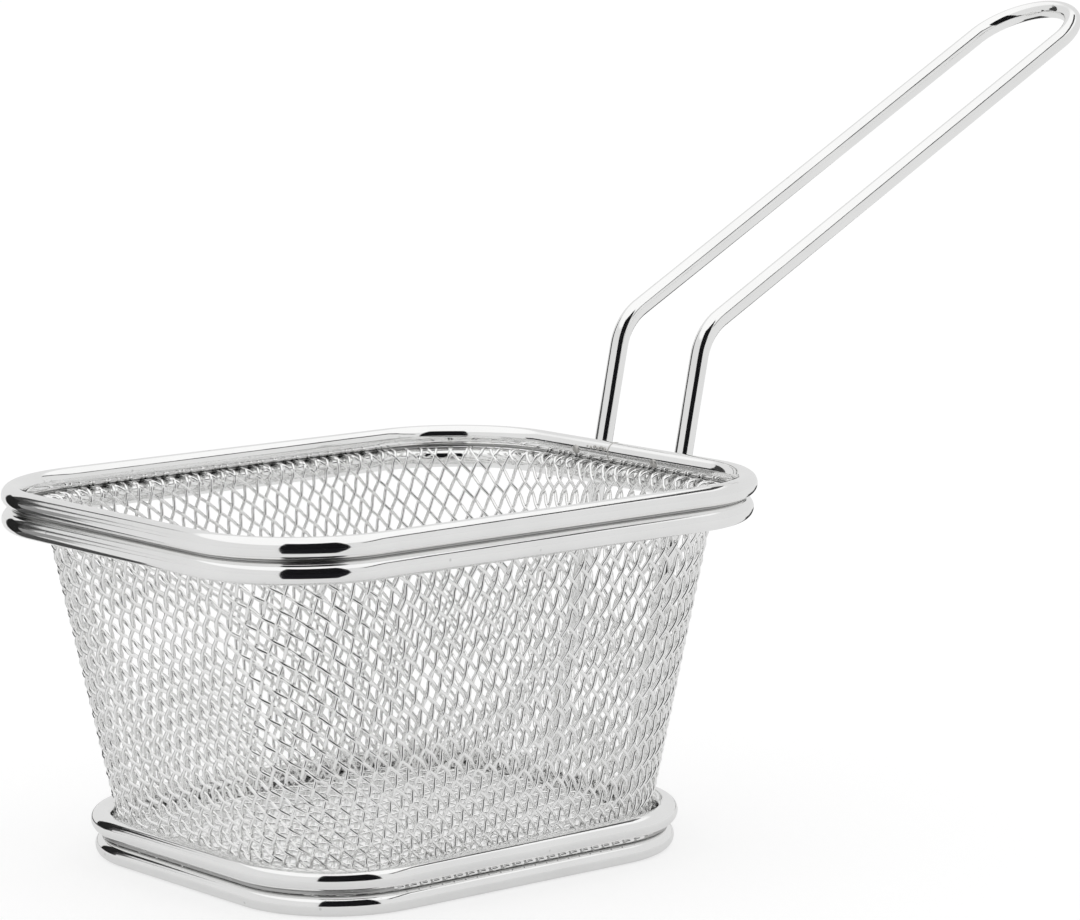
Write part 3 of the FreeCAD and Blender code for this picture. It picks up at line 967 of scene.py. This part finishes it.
# Cards about the basket: name, grey, then the four corners in metres
CARDS = (
    ("left_card", 0.08, ((-0.70, 1, 0), (-0.155, 1, 0), (-0.155, 1, 0.82), (-0.70, 1, 0.36))),
    (
        "back_card", 0.03,
        ((-0.11, 0.14, 0.001), (-0.05, 0.14, 0.001), (-0.05, 0.14, 0.095), (-0.11, 0.14, 0.095)),
    ),
    (
        "back_floor_card", 0.08,
        ((-0.06, 0.062, 0.001), (0.0, 0.062, 0.001), (-0.05, 0.14, 0.001), (-0.11, 0.14, 0.001)),
    ),
    (
        "frame_strip", 0.12,
        ((0.079, -0.440, 0.3), (0.279, 0.084, 0.3), (0.321, 0.068, 0.3), (0.121, -0.456, 0.3)),
    ),
    # Painted shadow: a grey sheet on the floor where the left card's shadow would fall, since that card casts
    # none; it shows in the steel alone
    (
        "left_card_painted_shadow", 0.30,
        ((-0.12, 0.13, 0.001), (-0.07, 0.125, 0.001), (-0.30, 0.95, 0.001), (-0.68, 0.85, 0.001)),
    ),
    (
        "right_floor_card", 0.05,
        ((0.169, 0.012, 0.001), (0.345, 0.125, 0.001), (0.305, 0.185, 0.001), (0.135, 0.062, 0.001)),
    ),
)
FOCAL_PIXELS = 4396.4
PHOTO_WIDTH = 1080
SENSOR_WIDTH = 36.0
CLIP_NEAR = 0.01
CLIP_FAR = 50.0


def place_camera(stage):
    """A camera at the photograph's viewing angle."""
    azimuth, elevation = stage.camera_azimuth, stage.camera_elevation
    back = Vector((
        math.sin(azimuth) * math.cos(elevation),
        -math.cos(azimuth) * math.cos(elevation),
        math.sin(elevation),
    ))
    level = Vector((0, 0, 1)).cross(back).normalized()
    upright = back.cross(level)
    turn = stage.camera_roll
    right = level * math.cos(turn) + upright * math.sin(turn)
    up = upright * math.cos(turn) - level * math.sin(turn)
    lens = bpy.data.cameras.new("camera")
    lens.sensor_fit = "HORIZONTAL"
    lens.sensor_width = SENSOR_WIDTH
    lens.lens = FOCAL_PIXELS / PHOTO_WIDTH * SENSOR_WIDTH
    lens.clip_start = CLIP_NEAR
    lens.clip_end = CLIP_FAR
    camera = bpy.data.objects.new("camera", lens)
    bpy.context.scene.collection.objects.link(camera)
    frame_matrix = Matrix((right, up, back)).transposed().to_4x4()
    spot = back * stage.camera_distance + right * stage.camera_right + up * stage.camera_up
    camera.matrix_world = Matrix.Translation(spot) @ frame_matrix
    bpy.context.scene.camera = camera


def stage_piece(name, bm, material):
    """Links a floor or card that isn't part of the basket."""
    mesh = bpy.data.meshes.new(name)
    bm.to_mesh(mesh)
    bm.free()
    mesh.materials.append(material)
    piece = bpy.data.objects.new(name, mesh)
    bpy.context.scene.collection.objects.link(piece)
    return piece


def front_card(colour):
    """A dark card that runs along the floor from the near corner to behind the camera and curves up."""
    bm = bmesh.new()
    lift = CAD_LOW.z + CARD_LIFT
    spots = [Vector((0, -CARD_NEAR, lift)), Vector((0, -CARD_FAR, lift))]
    for step in range(1, CARD_STEPS + 1):
        rise = math.radians(CARD_TOP) * step / CARD_STEPS
        spots.append(Vector((0, -CARD_FAR * math.cos(rise), lift + CARD_FAR * math.sin(rise))))
    verts = [bm.verts.new(spot) for spot in spots]
    edges = [bm.edges.new(pair) for pair in zip(verts, verts[1:])]
    start = Matrix.Rotation(math.radians(CARD_MIDDLE - CARD_SPREAD / 2), 3, "Z")
    bmesh.ops.rotate(bm, verts=verts, cent=Vector(), matrix=start)
    bmesh.ops.spin(
        bm, geom=verts + edges, cent=Vector(), axis=Vector((0, 0, 1)),
        angle=math.radians(CARD_SPREAD), steps=CARD_STEPS_ROUND,
    )
    bmesh.ops.translate(bm, verts=bm.verts, vec=Vector(CARD_CORNER))
    hang_card("front_card", bm, colour)


def hang_card(name, bm, colour):
    """Links a card that shows in the steel alone."""
    card = stage_piece(name, bm, card_paint(name, colour))
    card.visible_camera = False
    card.visible_diffuse = False
    card.visible_shadow = False


def flat_card(name, grey, corners):
    """A flat card between four corners."""
    bm = bmesh.new()
    bmesh.ops.create_grid(bm, x_segments=1, y_segments=1, size=0.5)
    bm.faces.ensure_lookup_table()
    for loop, corner in zip(bm.faces[0].loops, corners):
        loop.vert.co = corner
    hang_card(name, bm, (grey, grey, grey))


def studio_world():
    """White for the camera; for light and reflections a soft white room, brightest overhead."""
    world = bpy.data.worlds.new("studio")
    bpy.context.scene.world = world
    world.use_nodes = True
    tree = world.node_tree
    tree.nodes.clear()
    link = tree.links.new
    output = node(tree, "ShaderNodeOutputWorld")
    seen = node(tree, "ShaderNodeBackground")
    seen.inputs["Color"].default_value = (1, 1, 1, 1)
    around = node(tree, "ShaderNodeBackground")
    rays = node(tree, "ShaderNodeLightPath")
    choose = node(tree, "ShaderNodeMixShader")
    coordinates = node(tree, "ShaderNodeTexCoord")
    split = node(tree, "ShaderNodeSeparateXYZ")
    band = node(tree, "ShaderNodeMapRange")
    band.inputs["From Min"].default_value = SKY_EDGE - SKY_SOFT
    band.inputs["From Max"].default_value = SKY_EDGE + SKY_SOFT
    band.inputs["To Min"].default_value = SKY_LOW
    band.inputs["To Max"].default_value = SKY_HIGH
    link(coordinates.outputs["Generated"], split.inputs["Vector"])
    link(split.outputs["Z"], band.inputs["Value"])
    link(band.outputs["Result"], around.inputs["Strength"])
    link(rays.outputs["Is Camera Ray"], choose.inputs["Fac"])
    link(around.outputs["Background"], choose.inputs[1])
    link(seen.outputs["Background"], choose.inputs[2])
    link(choose.outputs["Shader"], output.inputs["Surface"])


class BASKET_OT_stage(bpy.types.Operator):
    """Set up the pale floor, the soft studio light and the camera"""

    bl_idname = "basket.stage"
    bl_label = "Stage"

    def execute(self, context):
        stage = context.scene.basket_stage
        context.scene.view_settings.view_transform = "Standard"
        place_camera(stage)
        bm = bmesh.new()
        bmesh.ops.create_circle(
            bm, cap_ends=True, segments=FLOOR_SIDES, radius=FLOOR_RADIUS,
            matrix=Matrix.Translation((0, 0, CAD_LOW.z)),
        )
        stage_piece("floor", bm, floor_paint(stage.floor_colour))
        front_card(stage.card_colour)
        for name, grey, corners in CARDS:
            flat_card(name, grey, corners)
        studio_world()
        return {"FINISHED"}


class BASKET_PT_pieces(bpy.types.Panel):
    """The basket's pieces, sizes and finish"""

    bl_label = "Fry Serving Basket"
    bl_idname = "BASKET_PT_pieces"
    bl_space_type = "VIEW_3D"
    bl_region_type = "UI"
    bl_category = "Basket"

    def draw(self, context):
        column = self.layout.column(align=True)
        for operator in OPERATORS:
            column.operator(operator.bl_idname)
        for group in ("basket_sizes", "basket_finish", "basket_stage"):
            holder = getattr(context.scene, group)
            for key in holder.__annotations__:
                column.prop(holder, key)


OPERATORS = (
    BASKET_OT_stage,
    BASKET_OT_rings,
    BASKET_OT_cloth_edges,
    BASKET_OT_handle,
    BASKET_OT_welds,
    BASKET_OT_wall_cloth,
    BASKET_OT_floor_cloth,
)
GROUPS = (
    ("basket_sizes", BasketSizes),
    ("basket_finish", BasketFinish),
    ("basket_stage", BasketStage),
)


def register():
    """Adds the sizes, the operators and the panel."""
    for name, group in GROUPS:
        bpy.utils.register_class(group)
        setattr(bpy.types.Scene, name, bpy.props.PointerProperty(type=group))
    for operator in OPERATORS:
        bpy.utils.register_class(operator)
    bpy.utils.register_class(BASKET_PT_pieces)


def unregister():
    """Takes them away again."""
    bpy.utils.unregister_class(BASKET_PT_pieces)
    for operator in reversed(OPERATORS):
        bpy.utils.unregister_class(operator)
    for name, group in reversed(GROUPS):
        delattr(bpy.types.Scene, name)
        bpy.utils.unregister_class(group)


def main():
    """Makes every piece in order."""
    register()
    bpy.ops.basket.stage()
    bpy.ops.basket.rings()
    bpy.ops.basket.cloth_edges()
    bpy.ops.basket.handle()
    bpy.ops.basket.welds()
    bpy.ops.basket.wall_cloth()
    bpy.ops.basket.floor_cloth()


if __name__ == "__main__":
    main()
